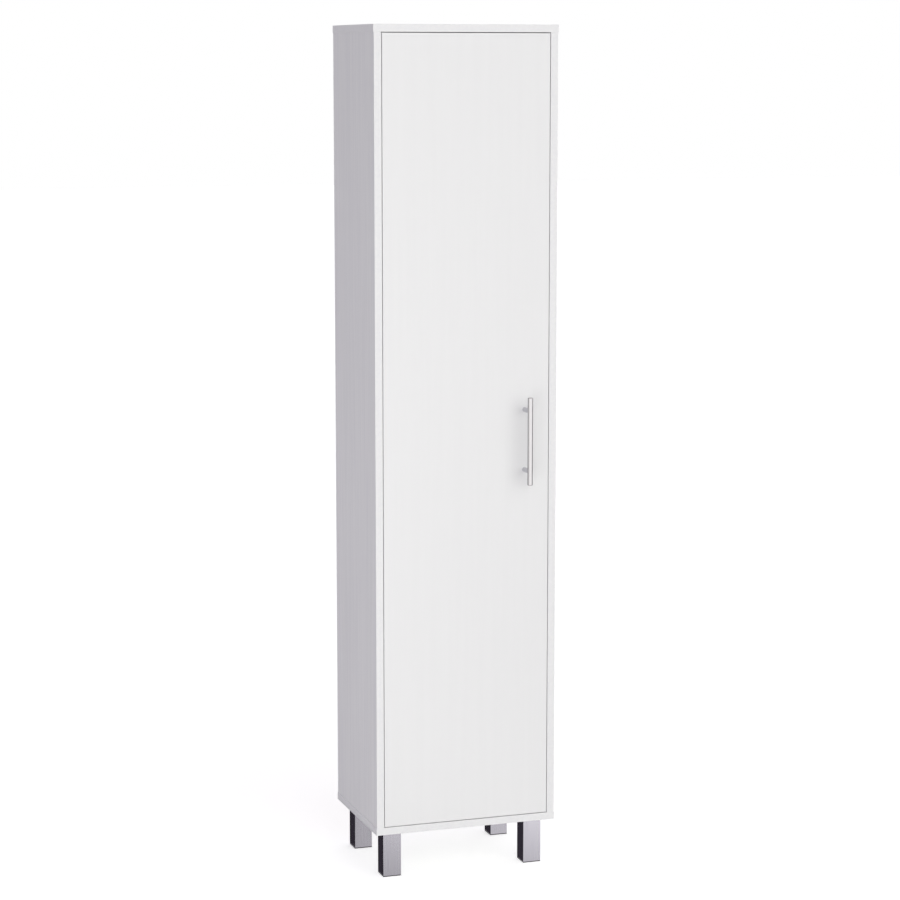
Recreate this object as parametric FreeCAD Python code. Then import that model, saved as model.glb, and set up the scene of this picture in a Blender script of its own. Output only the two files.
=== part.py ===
import FreeCAD, Part
import math
import os

os.makedirs("parts", exist_ok=True)

# Tall broom cupboard on four square metal legs, with one inset door.
# Millimetres. +X is to the right of someone facing the door, +Y runs to the back, +Z is up.
# The origin is on the floor, under the middle of the overall box (bar handle to back sheet).

V = FreeCAD.Vector
X_AXIS = V(1, 0, 0)
Y_AXIS = V(0, 1, 0)
Z_AXIS = V(0, 0, 1)

# Carcass of melamine faced chipboard
carcass_width = 400.0
carcass_height = 1700.0
carcass_depth = 297.0
board = 16.0
edging = 1.0
edging_round = 0.5
back_sheet = 3.0
back_inset = 2.0
back_joint_gap = 1.0
top_compartment = 300.0
shelf_behind_door = 18.0
hook_rail_height = 90.0
hook_rail_below_shelf = 60.0
wall_rail_height = 64.0
wall_hole_spacing = 240.0
wall_hole_radius = 2.75

# Door
door_gap = 1.5
door_board = 16.0
handle_from_edge = 53.5
handle_middle_height = 834.5
handle_centres = 128.0
handle_bar_overhang = 29.0
handle_bar_radius = 5.5
handle_bar_chamfer = 1.0
handle_stand_off = 35.0
handle_post_radius = 5.0
handle_screw_radius = 2.0
handle_screw_grip = 8.0
handle_screw_end_room = 1.0
handle_stud_length = 5.0
handle_hole_radius = 2.5
screw_head_radius = 4.0
screw_head_height = 1.8
screw_dome_rounding = 1.08
wood_head_radius = 3.6
wood_head_top = 2.8
screw_tip_radius = 0.3
screw_hole_room = 0.5

# Legs
leg_height = 100.0
leg_width = 40.0
leg_wall = 1.4
leg_corner = 1.2
leg_plate = 3.0
foot_flange = 2.0
foot_plug_height = 14.0
foot_plug_wall = 2.5
leg_side_inset = 21.0
leg_front_inset = 24.0
leg_back_inset = 21.0
leg_screw_offset = 10.0

# Concealed hinges: u is measured from the door's hinge edge, v back from the door's face
hinge_end_distance = 100.0
cup_from_edge = 22.5
cup_bore_radius = 17.5
cup_bore_depth = 12.4
cup_clearance = 0.1
cup_sheet = 0.55
cup_flange = 0.8
cup_flange_half_height = 31.0
cup_flange_half_width = 11.0
cup_rim = 1.2
cup_ear_below_back = 1.5
cup_screw_centres = 52.0
cup_ear_inner = 8.6
cup_ear = 1.2
pin_depth = 9.4
pin_spacing = 5.8
link_length = 10.6
outer_pin_past_cup = 1.9
pivot_pin_radius = 1.0
pivot_clearance = 0.05
open_pivot_clearance = 0.32
link_boss_radius = 1.95
link_half_width = 0.95
link_bow = 2.35
link_bow_start = 0.28
inner_link_half = 4.0
outer_link_inner = 4.3
outer_link_outer = 6.3
arm_cheek_inner = 6.6
arm_cheek_outer = 8.2
arm_side_room = 1.0
arm_half_band = 1.9
arm_strap_step = 0.1
arm_web = 1.2
arm_height = 5.0
arm_crank_in_cup = 5.4
arm_crank_lead = 1.6
arm_crank_dip = 3.5
arm_crank_straight = 13.5
arm_crank_bend = 5.0
arm_cross_rise = 2.0
plate_screw_line = 37.0
plate_screw_centres = 32.0
plate_thickness = 2.2
plate_half_height = 24.0
plate_half_depth = 8.5
plate_rib_half_height = 5.4
plate_rib_half_length = 21.0
wood_screw_radius = 1.75
wood_screw_length = 14.0
arm_screw_radius = 2.0
arm_screw_room = 1.5
arm_screw_off_board = 0.5
screw_recess_half = 0.6
screw_recess_depth = 0.9

# Carcass fittings
cam_radius = 7.5
cam_depth = 12.4
cam_recess = 0.2
cam_from_end = 34.0
cam_clearance = 0.1
cam_rim = 2.5
cam_cross_half = 0.7
cam_cross_depth = 1.5
cam_pocket_room = 0.4
bolt_bore_radius = 4.0
bolt_shank_radius = 3.0
bolt_neck_radius = 2.2
bolt_head_radius = 3.3
bolt_thread_radius = 2.5
bolt_thread_length = 11.0
bolt_neck_length = 4.0
bolt_head_length = 2.0
dowel_radius = 4.0
dowel_length = 30.0
dowel_face_depth = 11.0
dowel_end_room = 1.0
dowel_beside_cam = 32.0
rail_dowel_beside_cam = 24.0
fitting_from_front = 60.0
fitting_from_back = 50.0
fit_clearance = 0.05
nail_radius = 0.8
nail_head_radius = 2.2
nail_head_height = 0.5
nail_length = 18.0
nail_end_room = 1.0
nail_pitch = 150.0

# Hooks on the rail, and stop pegs behind the door
hook_width = 14.0
hook_strip = 2.5
hook_height = 48.0
hook_reach = 30.0
hook_tip = 20.0
hook_spacing = 110.0
hook_screw_spacing = 20.0
hook_screw_radius = 1.75
hook_screw_length = 13.0
bumper_end_distance = 100.0
bumper_reach = 10.0
bumper_radius = 4.5
bumper_rounding = 1.5
bumper_clearance = 0.3
bumper_stem_radius = 2.5
bumper_stem_length = 8.0

# How far a cutting tool runs past what it cuts, and how exactly an edge is picked
cut_past = 1.0
pick_within = 0.1

# Places that follow from the sizes above
handle_reach = handle_stand_off + handle_bar_radius
front = handle_reach - (handle_reach + carcass_depth + back_sheet) / 2
rear = front + carcass_depth
half_width = carcass_width / 2
inner = half_width - board
bottom = leg_height
top = bottom + carcass_height
floor_level = bottom + board
ceiling = top - board
shelf_top = ceiling - top_compartment
shelf_under = shelf_top - board
shelf_front = front + door_board + shelf_behind_door
hook_rail_top = shelf_under - hook_rail_below_shelf
hook_rail_bottom = hook_rail_top - hook_rail_height
hook_rail_middle = (hook_rail_top + hook_rail_bottom) / 2
wall_rail_bottom = ceiling - wall_rail_height
rail_front = rear - board
door_left = -inner + door_gap
door_right = inner - door_gap
door_bottom = floor_level + door_gap
door_top = ceiling - door_gap
door_back = front + door_board
handle_x = door_right - handle_from_edge
handle_levels = {
    "lower": bottom + handle_middle_height - handle_centres / 2,
    "upper": bottom + handle_middle_height + handle_centres / 2,
}
hinge_levels = {
    "lower": door_bottom + hinge_end_distance,
    "middle": (door_bottom + door_top) / 2,
    "upper": door_top - hinge_end_distance,
}


def box(x0, x1, y0, y1, z0, z1):
    return Part.makeBox(x1 - x0, y1 - y0, z1 - z0, V(x0, y0, z0))


def rod(start, axis, radius, length):
    return Part.makeCylinder(radius, length, start, axis)


def rod_on_z(x, y, z0, z1, radius):
    return rod(V(x, y, z0), Z_AXIS, radius, z1 - z0)


def cut_all(shape, tools):
    return shape.cut(tools) if tools else shape


def joined(shapes):
    whole = shapes[0].fuse(shapes[1:]) if len(shapes) > 1 else shapes[0]
    return whole.removeSplitter()


def save(name, shapes):
    shapes = shapes if isinstance(shapes, list) else [shapes]
    solids = [solid for shape in shapes for solid in shape.Solids]
    whole = solids[0] if len(solids) == 1 else Part.makeCompound(solids)
    whole.exportStep(f"parts/{name}.step")
    print(name, len(solids), "solid(s)", "valid" if whole.isValid() else "NOT VALID")


def prism(points, direction, length):
    """A prism of a closed outline, given as points in order, pushed along direction."""
    wire = Part.makePolygon(points + points[:1])
    return Part.Face(wire).extrude(direction * length)


def cross_recess(point, axis, half_width_of_bar, depth, reach):
    """A cross-shaped recess, from point along axis, for a screwdriver."""
    helper = Z_AXIS if abs(axis.z) < 0.5 else X_AXIS
    first = axis.cross(helper)
    second = axis.cross(first)
    bars = []
    for along, other in ((first, second), (second, first)):
        end = along * reach
        edge = other * half_width_of_bar
        corners = [point + end + edge, point - end + edge, point - end - edge,
                   point + end - edge]
        bars.append(prism(corners, axis, depth))
    return bars[0].fuse(bars[1])


def wood_screw(point, axis, radius, length):
    """A screw whose head sits on point and whose shank runs along axis from it."""
    head = Part.makeCone(wood_head_radius, wood_head_top, screw_head_height, point, axis * -1)
    recess = cross_recess(point - axis * screw_head_height, axis, screw_recess_half,
                          screw_recess_depth, screw_head_radius / 2)
    tip_length = 2 * radius
    shank = rod(point, axis, radius, length - tip_length)
    tip_start = point + axis * (length - tip_length)
    tip = Part.makeCone(radius, screw_tip_radius, tip_length, tip_start, axis)
    return joined([head, shank, tip]).cut(recess)


def machine_screw(point, length):
    """A machine screw with a low domed head, put in from the back of the door."""
    head = rod(point, Y_AXIS, screw_head_radius, screw_head_height)
    rim = [edge for edge in head.Edges
           if isinstance(edge.Curve, Part.Circle) and edge.BoundBox.YMin > point.y + pick_within]
    head = head.makeFillet(screw_dome_rounding, rim)
    recess = cross_recess(point + Y_AXIS * screw_head_height, Y_AXIS * -1,
                          screw_recess_half, screw_recess_depth, screw_head_radius / 2)
    shank = rod(point - Y_AXIS * length, Y_AXIS, handle_screw_radius, length)
    return joined([head, shank]).cut(recess)


# ---------------------------------------------------------------- carcass fittings

cams = []
bolts = []
dowels = []
nails = []
bores = {}


def drill(board_name, tool):
    bores.setdefault(board_name, []).append(tool)


def cam_joint(point, inward, face, end_board, face_board):
    """A cam lock that pulls the end of end_board onto the face of face_board.

    point lies on the joint, in the middle of the board's thickness. inward runs from
    the joint into end_board, and face points to the side that the cam is turned from."""
    centre = point + inward * cam_from_end
    surface = centre + face * (board / 2)
    cam_top = surface - face * cam_recess
    cam = rod(cam_top - face * cam_depth, face, cam_radius, cam_depth)
    cam = cam.cut(cross_recess(cam_top, face * -1, cam_cross_half, cam_cross_depth,
                               cam_radius - cam_rim))
    head_room = rod(centre, inward * -1, bolt_head_radius + cam_pocket_room,
                    cam_radius + cut_past)
    end_room = rod(centre, inward, bolt_head_radius + cam_pocket_room, bolt_head_length)
    cams.append(cam.cut([head_room, end_room]))
    bore = cam_depth + cam_recess + cam_clearance
    drill(end_board, rod(surface - face * bore, face, cam_radius + cam_clearance, bore))
    drill(end_board, rod(point, inward, bolt_bore_radius, cam_from_end))
    drill(face_board, rod(point, inward * -1, bolt_thread_radius + fit_clearance,
                          bolt_thread_length + dowel_end_room))
    head_end = cam_from_end + bolt_head_length / 2
    neck_start = head_end - bolt_head_length - bolt_neck_length
    bolts.append(
        joined(
            [
                rod(point - inward * bolt_thread_length, inward, bolt_thread_radius,
                    bolt_thread_length),
                rod(point, inward, bolt_shank_radius, neck_start),
                rod(point + inward * neck_start, inward, bolt_neck_radius, bolt_neck_length),
                rod(point + inward * (head_end - bolt_head_length), inward,
                    bolt_head_radius, bolt_head_length),
            ]
        )
    )


def dowel_joint(point, inward, end_board, face_board):
    """A fluteless beech dowel across the same kind of joint."""
    into_end = dowel_length - dowel_face_depth
    start = point - inward * dowel_face_depth
    dowels.append(rod(start, inward, dowel_radius, dowel_length))
    hole = dowel_radius + fit_clearance
    drill(end_board, rod(point, inward, hole, into_end + dowel_end_room))
    drill(face_board, rod(point, inward * -1, hole, dowel_face_depth + dowel_end_room))


def back_nail(x, z, backing):
    """A nail through the back sheet into the rear edge of a board."""
    head_front = rear + back_sheet - nail_head_height
    head = rod(V(x, head_front, z), Y_AXIS, nail_head_radius, nail_head_height)
    shank = rod(V(x, head_front - nail_length, z), Y_AXIS, nail_radius, nail_length)
    nails.append(joined([head, shank]))
    room = nail_radius + fit_clearance
    hole_depth = nail_length + nail_end_room
    hole = joined([
        rod(V(x, head_front - hole_depth, z), Y_AXIS, room, hole_depth),
        rod(V(x, head_front, z), Y_AXIS, nail_head_radius + fit_clearance, nail_head_height),
    ])
    drill(backing, hole)
    drill("back_panel_upper" if z > hook_rail_middle else "back_panel_lower", hole)


def spread(first, last, pitch):
    """Evenly spaced places from first to last, no further apart than pitch."""
    count = max(1, math.ceil((last - first) / pitch))
    return [first + (last - first) * i / count for i in range(count + 1)]


side_names = {-1: "left_side_panel", 1: "right_side_panel"}
fitting_rows = (front + fitting_from_front, rear - fitting_from_back)

for side, panel in side_names.items():
    x_middle = side * (half_width - board / 2)
    towards_inside = X_AXIS * -side
    for level, inward, capping in (
        (floor_level, Z_AXIS, "bottom_panel"),
        (ceiling, Z_AXIS * -1, "top_panel"),
    ):
        for y in fitting_rows:
            cam_joint(V(x_middle, y, level), inward, towards_inside, panel, capping)
        middle_y = sum(fitting_rows) / 2
        for shift in (-dowel_beside_cam, dowel_beside_cam):
            dowel_joint(V(x_middle, middle_y + shift, level), inward, panel, capping)
    shelf_middle = (shelf_top + shelf_under) / 2
    for y in fitting_rows:
        cam_joint(V(side * inner, y, shelf_middle), towards_inside, Z_AXIS * -1,
                  "fixed_shelf", panel)
    dowel_joint(V(side * inner, sum(fitting_rows) / 2, shelf_middle), towards_inside,
                "fixed_shelf", panel)
    for rail, middle in (
        ("hook_rail", hook_rail_middle),
        ("wall_fixing_rail", (ceiling + wall_rail_bottom) / 2),
    ):
        rail_point = V(side * inner, rear - board / 2, middle)
        cam_joint(rail_point, towards_inside, Y_AXIS, rail, panel)
        dowel_joint(rail_point + Z_AXIS * rail_dowel_beside_cam, towards_inside, rail, panel)
        dowel_joint(rail_point - Z_AXIS * rail_dowel_beside_cam, towards_inside, rail, panel)

nail_in = board / 2
for side, panel in side_names.items():
    nail_x = side * (half_width - nail_in)
    lower_run = spread(floor_level + cam_from_end, hook_rail_middle - nail_in, nail_pitch)
    upper_run = spread(hook_rail_middle + nail_in, wall_rail_bottom - nail_in, nail_pitch)
    for z in lower_run + upper_run:
        back_nail(nail_x, z, panel)
for x in spread(-inner + cam_from_end, inner - cam_from_end, nail_pitch):
    back_nail(x, bottom + nail_in, "bottom_panel")
    back_nail(x, top - nail_in, "top_panel")
    back_nail(x, (shelf_top + shelf_under) / 2, "fixed_shelf")

# ---------------------------------------------------------------- hinges


pin_v = door_board - pin_depth
outer_arm_pivot = (cup_from_edge + outer_pin_past_cup, pin_v)
inner_arm_pivot = (outer_arm_pivot[0] + pin_spacing, pin_v)
outer_cup_pivot = (outer_arm_pivot[0] - link_length, pin_v)
inner_cup_pivot = (inner_arm_pivot[0] - link_length, pin_v)


def hinge_point(u, v, z):
    return V(door_left + u, front + v, z)


def flat_prism(outline, z0, z1):
    """A flat piece of the hinge: an outline in (u, v), standing from z0 to z1."""
    points = [hinge_point(u, v, z0) for u, v in outline]
    return prism(points, Z_AXIS, z1 - z0)


def pivot_rod(pivot, z0, z1, radius):
    return rod(hinge_point(pivot[0], pivot[1], z0), Z_AXIS, radius, z1 - z0)


def offset_line(points, distance):
    """The line through points, moved sideways by distance with mitred corners."""
    moved = []
    for i, (u, v) in enumerate(points):
        before = points[max(i - 1, 0)]
        after = points[min(i + 1, len(points) - 1)]
        normals = []
        for (u0, v0), (u1, v1) in ((before, (u, v)), ((u, v), after)):
            length = math.hypot(u1 - u0, v1 - v0)
            if length > 0:
                normals.append((-(v1 - v0) / length, (u1 - u0) / length))
        nu = sum(n[0] for n in normals) / len(normals)
        nv = sum(n[1] for n in normals) / len(normals)
        scale = distance / (nu * nu + nv * nv)
        moved.append((u + nu * scale, v + nv * scale))
    return moved


def band(points, left, right):
    """The outline between two sideways offsets of a line."""
    return offset_line(points, left) + offset_line(points, right)[::-1]


def bowed_line(first, last, bow):
    """From first to last by way of a stretch that stands bow to the side."""
    du, dv = last[0] - first[0], last[1] - first[1]
    length = math.hypot(du, dv)
    nu, nv = -dv / length * bow, du / length * bow
    near_share, far_share = link_bow_start, 1 - link_bow_start
    near = (first[0] + du * near_share + nu, first[1] + dv * near_share + nv)
    far = (first[0] + du * far_share + nu, first[1] + dv * far_share + nv)
    return [first, near, far, last]


def link_leaf(arm_end, cup_end, z0, z1):
    """One leaf of a link, bowed to the back so that it passes the other link's pins."""
    line = bowed_line(arm_end, cup_end, -link_bow)
    leaf = [
        flat_prism(band(line, link_half_width, -link_half_width), z0, z1),
        pivot_rod(arm_end, z0, z1, link_boss_radius),
        pivot_rod(cup_end, z0, z1, link_boss_radius),
    ]
    return joined(leaf)


def link_holes(arm_end, cup_end, reach, cup_end_clearance):
    return [
        pivot_rod(arm_end, -reach, reach, pivot_pin_radius + pivot_clearance),
        pivot_rod(cup_end, -reach, reach, pivot_pin_radius + cup_end_clearance),
    ]


def outer_link():
    """The outer link: a leaf each side of the inner link, joined by a rolled eye at the cup."""
    leaves = [
        link_leaf(outer_arm_pivot, outer_cup_pivot, outer_link_inner, outer_link_outer),
        link_leaf(outer_arm_pivot, outer_cup_pivot, -outer_link_outer, -outer_link_inner),
    ]
    eye = pivot_rod(outer_cup_pivot, -outer_link_inner, outer_link_inner, link_boss_radius)
    holes = link_holes(outer_arm_pivot, outer_cup_pivot, outer_link_outer + cut_past,
                       pivot_clearance)
    return joined(leaves + [eye]).cut(holes)


def inner_link():
    whole = link_leaf(inner_arm_pivot, inner_cup_pivot, -inner_link_half, inner_link_half)
    return whole.cut(link_holes(inner_arm_pivot, inner_cup_pivot, inner_link_half + cut_past,
                                open_pivot_clearance))


plate_u = -door_gap
plate_v = door_board + plate_screw_line
arm_u = plate_u + plate_thickness + arm_height
crank_u = cup_from_edge + cup_bore_radius - arm_crank_in_cup
crank_front = door_board + arm_crank_dip
crank_back = crank_front + arm_crank_straight
arm_cross_end = crank_back + arm_crank_bend + arm_cross_rise
arm_flat_start = arm_cross_end + arm_crank_bend
arm_line = [
    ((outer_arm_pivot[0] + inner_arm_pivot[0]) / 2, pin_v),
    (crank_u - arm_crank_lead, door_board - arm_crank_dip),
    (crank_u, crank_front),
    (crank_u, crank_back),
    (crank_u - arm_crank_bend, crank_back + arm_crank_bend),
    (arm_u + arm_crank_bend, arm_cross_end),
    (arm_u, arm_flat_start),
    (arm_u, plate_v + plate_rib_half_length),
]
arm_screw_places = (
    arm_flat_start + screw_head_radius + arm_screw_room,
    plate_v + plate_rib_half_length - screw_head_radius - arm_screw_room,
)


def hinge_arm():
    """The cranked arm: two cheeks, with a web along the plate and round the crank."""
    reach = arm_cheek_outer
    strap = link_boss_radius - arm_strap_step
    cheeks = [
        flat_prism(band(arm_line, arm_half_band, -arm_half_band), -reach, reach),
        pivot_rod(outer_arm_pivot, -reach, reach, link_boss_radius),
        pivot_rod(inner_arm_pivot, -reach, reach, link_boss_radius),
        flat_prism(band([outer_arm_pivot, inner_arm_pivot], strap, -strap), -reach, reach),
    ]
    whole = joined(cheeks)
    hollow = box(-inner, door_right, front, rear, -arm_cheek_inner, arm_cheek_inner)
    web = flat_prism(
        band(arm_line[2:], -arm_half_band + arm_web, -arm_half_band), -reach, reach)
    whole = joined([whole.cut(hollow), web])
    pins = [
        pivot_rod(outer_arm_pivot, -reach - cut_past, reach + cut_past, pivot_pin_radius),
        pivot_rod(inner_arm_pivot, -reach - cut_past, reach + cut_past, pivot_pin_radius),
    ]
    return whole.cut(pins + arm_screw_holes())


def arm_screw_holes():
    return [
        rod(hinge_point(plate_u + arm_screw_off_board, v, 0), X_AXIS,
            arm_screw_radius + fit_clearance,
            plate_thickness + arm_height + arm_half_band + cut_past)
        for v in arm_screw_places
    ]


def hinge_plate():
    """The mounting plate: two wings with the wood screws, and the rib under the arm."""
    wing_top = plate_u + plate_thickness
    wings = flat_prism(
        [(plate_u, plate_v - plate_half_depth), (wing_top, plate_v - plate_half_depth),
         (wing_top, plate_v + plate_half_depth), (plate_u, plate_v + plate_half_depth)],
        -plate_half_height, plate_half_height)
    rib_top = arm_u + arm_half_band - arm_web
    rib = flat_prism(
        [(plate_u, plate_v - plate_rib_half_length), (rib_top, plate_v - plate_rib_half_length),
         (rib_top, plate_v + plate_rib_half_length), (plate_u, plate_v + plate_rib_half_length)],
        -plate_rib_half_height, plate_rib_half_height)
    holes = arm_screw_holes()
    for z in (-plate_screw_centres / 2, plate_screw_centres / 2):
        holes.append(rod(hinge_point(plate_u, plate_v, z), X_AXIS,
                         wood_screw_radius + fit_clearance, plate_thickness))
    return joined([wings, rib]).cut(holes)


def hinge_cup():
    """The cup in the door's back, its flange and the two ears that hold its pins."""
    centre = hinge_point(cup_from_edge, 0, 0)
    cup_radius = cup_bore_radius - cup_clearance
    bowl_back = door_board - cup_bore_depth + fit_clearance
    bowl = rod(V(centre.x, front + bowl_back, 0), Y_AXIS, cup_radius, door_board - bowl_back)
    flange = box(centre.x - cup_flange_half_width, centre.x + cup_flange_half_width,
                 door_back, door_back + cup_flange,
                 -cup_flange_half_height, cup_flange_half_height)
    rim = rod(V(centre.x, door_back, 0), Y_AXIS, cup_bore_radius + cup_rim, cup_flange)
    arm_side = arm_cheek_outer + arm_side_room
    rim = rim.cut(box(centre.x - 2 * cup_bore_radius, centre.x - cup_flange_half_width,
                      door_back, door_back + cup_flange, -arm_side, arm_side))
    hollow = rod(V(centre.x, front + bowl_back + cup_sheet, 0), Y_AXIS,
                 cup_radius - 2 * cup_sheet, door_board)
    shell = joined([bowl, flange, rim]).cut(hollow)
    ears = []
    for sign in (-1, 1):
        z0, z1 = sorted((sign * cup_ear_inner, sign * (cup_ear_inner + cup_ear)))
        ear = box(centre.x - cup_radius, centre.x + cup_radius, front + bowl_back,
                  door_back - cup_ear_below_back, z0, z1)
        ears.append(ear.common(rod(V(centre.x, front, 0), Y_AXIS, cup_radius, door_board)))
    whole = joined([shell] + ears)
    holes = cup_pins()
    for z in (-cup_screw_centres / 2, cup_screw_centres / 2):
        holes.append(rod(V(centre.x, door_back, z), Y_AXIS,
                         wood_screw_radius + fit_clearance, cup_flange))
    return whole.cut(holes)


def cup_pins():
    reach = cup_ear_inner + cup_ear
    return [
        pivot_rod(outer_cup_pivot, -reach, reach, pivot_pin_radius),
        pivot_rod(inner_cup_pivot, -reach, reach, pivot_pin_radius),
    ]


def arm_pins():
    reach = arm_cheek_outer
    return [
        pivot_rod(outer_arm_pivot, -reach, reach, pivot_pin_radius),
        pivot_rod(inner_arm_pivot, -reach, reach, pivot_pin_radius),
    ]


def lifted(shape, z):
    copy = shape.copy()
    copy.translate(Z_AXIS * z)
    return copy


def built_hinges():
    single = {
        "cup": [hinge_cup()],
        "arm": [hinge_arm()],
        "plate": [hinge_plate()],
        "outer_link": [outer_link()],
        "inner_link": [inner_link()],
    }
    cup_screws = [
        wood_screw(V(door_left + cup_from_edge, door_back + cup_flange, z), Y_AXIS * -1,
                   wood_screw_radius, wood_screw_length)
        for z in (-cup_screw_centres / 2, cup_screw_centres / 2)
    ]
    plate_screws = [
        wood_screw(hinge_point(plate_u + plate_thickness, plate_v, z), X_AXIS * -1,
                   wood_screw_radius, wood_screw_length)
        for z in (-plate_screw_centres / 2, plate_screw_centres / 2)
    ]
    arm_screws = [
        wood_screw(hinge_point(arm_u + arm_half_band, v, 0), X_AXIS * -1, arm_screw_radius,
                   arm_half_band + arm_height + plate_thickness - arm_screw_off_board)
        for v in arm_screw_places
    ]
    shared = {
        "hinge_cup_pins": cup_pins(),
        "hinge_arm_pins": arm_pins(),
        "hinge_cup_screws": cup_screws,
        "hinge_plate_screws": plate_screws,
        "hinge_adjusting_screws": arm_screws,
    }
    for place, level in hinge_levels.items():
        for piece, shapes in single.items():
            save(f"hinge_{place}_{piece}", [lifted(s, level) for s in shapes])
    for name, shapes in shared.items():
        save(name, [lifted(s, z) for z in hinge_levels.values() for s in shapes])


for level in hinge_levels.values():
    cup_centre = V(door_left + cup_from_edge, door_back - cup_bore_depth, level)
    drill("door_panel", rod(cup_centre, Y_AXIS, cup_bore_radius, cup_bore_depth))
    for shift in (-cup_screw_centres / 2, cup_screw_centres / 2):
        hole_depth = wood_screw_length - cup_flange + screw_hole_room
        start = V(cup_centre.x, door_back - hole_depth, level + shift)
        drill("door_panel", rod(start, Y_AXIS, wood_screw_radius + fit_clearance, hole_depth))
    for shift in (-plate_screw_centres / 2, plate_screw_centres / 2):
        hole_depth = wood_screw_length - plate_thickness + screw_hole_room
        start = V(-inner - hole_depth, front + plate_v, level + shift)
        drill("left_side_panel",
              rod(start, X_AXIS, wood_screw_radius + fit_clearance, hole_depth))

built_hinges()

# ---------------------------------------------------------------- door and handle

for z in handle_levels.values():
    drill("door_panel", rod(V(handle_x, front, z), Y_AXIS, handle_hole_radius, door_board))


def rounded_block(x0, x1, y0, y1, z0, z1, chosen):
    """A block with the edges that chosen picks out rounded like trimmed tape."""
    block = box(x0, x1, y0, y1, z0, z1)
    edges = [edge for edge in block.Edges if chosen(edge.BoundBox)]
    return block.makeFillet(edging_round, edges)


def door_leaf():
    block = rounded_block(door_left, door_right, front, door_back, door_bottom, door_top,
                          lambda b: b.YLength < pick_within)
    core = box(door_left + edging, door_right - edging, front, door_back,
               door_bottom + edging, door_top - edging)
    save("door_panel", cut_all(core, bores["door_panel"]))
    wrap = block.cut(core)
    upright = [
        box(door_left, door_left + edging, front, door_back, door_bottom, door_top),
        box(door_right - edging, door_right, front, door_back, door_bottom, door_top),
    ]
    level = [
        box(door_left + edging, door_right - edging, front, door_back, door_bottom,
            door_bottom + edging),
        box(door_left + edging, door_right - edging, front, door_back, door_top - edging,
            door_top),
    ]
    save("door_edging", [wrap.common(piece) for piece in upright + level])


door_leaf()


def handle():
    bar_y = front - handle_stand_off
    middle = sum(handle_levels.values()) / 2
    half_length = handle_centres / 2 + handle_bar_overhang
    bar = rod_on_z(handle_x, bar_y, middle - half_length, middle + half_length,
                   handle_bar_radius)
    rims = [edge for edge in bar.Edges if isinstance(edge.Curve, Part.Circle)]
    bar = bar.makeChamfer(handle_bar_chamfer, rims)
    stud_hole = handle_screw_radius + fit_clearance
    bore_depth = handle_screw_grip + handle_screw_end_room
    screws = []
    for place, z in handle_levels.items():
        post = rod(V(handle_x, bar_y, z), Y_AXIS, handle_post_radius, handle_stand_off)
        saddle = rod_on_z(handle_x, bar_y, z - 2 * handle_post_radius,
                          z + 2 * handle_post_radius, handle_bar_radius)
        bore = rod(V(handle_x, front - bore_depth, z), Y_AXIS, stud_hole, bore_depth)
        stud_start = bar_y + handle_bar_radius - handle_stud_length
        stud = rod(V(handle_x, stud_start, z), Y_AXIS, handle_screw_radius,
                   2 * handle_stud_length)
        save(f"handle_post_{place}", joined([post.cut(saddle), stud]).cut(bore))
        bar = bar.cut(rod(V(handle_x, stud_start, z), Y_AXIS, stud_hole,
                          handle_bar_radius + handle_stud_length))
        screws.append(machine_screw(V(handle_x, door_back, z), handle_screw_grip + door_board))
    save("handle_bar", bar)
    save("handle_screws", screws)


handle()

# ---------------------------------------------------------------- legs

leg_places = {
    "front_left": (-half_width + leg_side_inset, front + leg_front_inset),
    "front_right": (half_width - leg_side_inset - leg_width, front + leg_front_inset),
    "back_left": (-half_width + leg_side_inset, rear + back_sheet - leg_back_inset - leg_width),
    "back_right": (half_width - leg_side_inset - leg_width,
                   rear + back_sheet - leg_back_inset - leg_width),
}


def square_tube_block(x, y, inset, z0, z1, corner):
    block = box(x + inset, x + leg_width - inset, y + inset, y + leg_width - inset, z0, z1)
    uprights = [edge for edge in block.Edges if edge.BoundBox.ZLength > (z1 - z0) / 2
                and edge.BoundBox.XLength < pick_within]
    return block.makeFillet(corner, uprights)


def legs():
    plates = []
    screws = []
    for place, (x, y) in leg_places.items():
        outside = square_tube_block(x, y, 0, foot_flange, leg_height, leg_corner)
        inside = square_tube_block(x, y, leg_wall, foot_flange, leg_height, leg_corner / 2)
        save(f"leg_{place}", outside.cut(inside))
        plate = square_tube_block(x, y, leg_wall, leg_height - leg_plate, leg_height,
                                  leg_corner / 2)
        for dx in (-leg_screw_offset, leg_screw_offset):
            for dy in (-leg_screw_offset, leg_screw_offset):
                at = V(x + leg_width / 2 + dx, y + leg_width / 2 + dy, leg_height - leg_plate)
                plate = plate.cut(rod(at, Z_AXIS, wood_screw_radius + fit_clearance, leg_plate))
                screws.append(wood_screw(at, Z_AXIS, wood_screw_radius, wood_screw_length))
                hole_depth = wood_screw_length - leg_plate + screw_hole_room
                drill("bottom_panel", rod(at + Z_AXIS * leg_plate, Z_AXIS,
                                          wood_screw_radius + fit_clearance, hole_depth))
        plates.append(plate)
        flange = square_tube_block(x, y, 0, 0, foot_flange, leg_corner)
        plug = square_tube_block(x, y, leg_wall + fit_clearance, foot_flange,
                                 foot_flange + foot_plug_height, leg_corner / 2)
        plug_hollow = square_tube_block(x, y, leg_wall + foot_plug_wall, foot_flange,
                                        foot_flange + foot_plug_height, leg_corner / 2)
        save(f"foot_{place}", joined([flange, plug.cut(plug_hollow)]))
    save("leg_plates", plates)
    save("leg_screws", screws)


legs()

# ---------------------------------------------------------------- hooks and stop pegs


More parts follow.
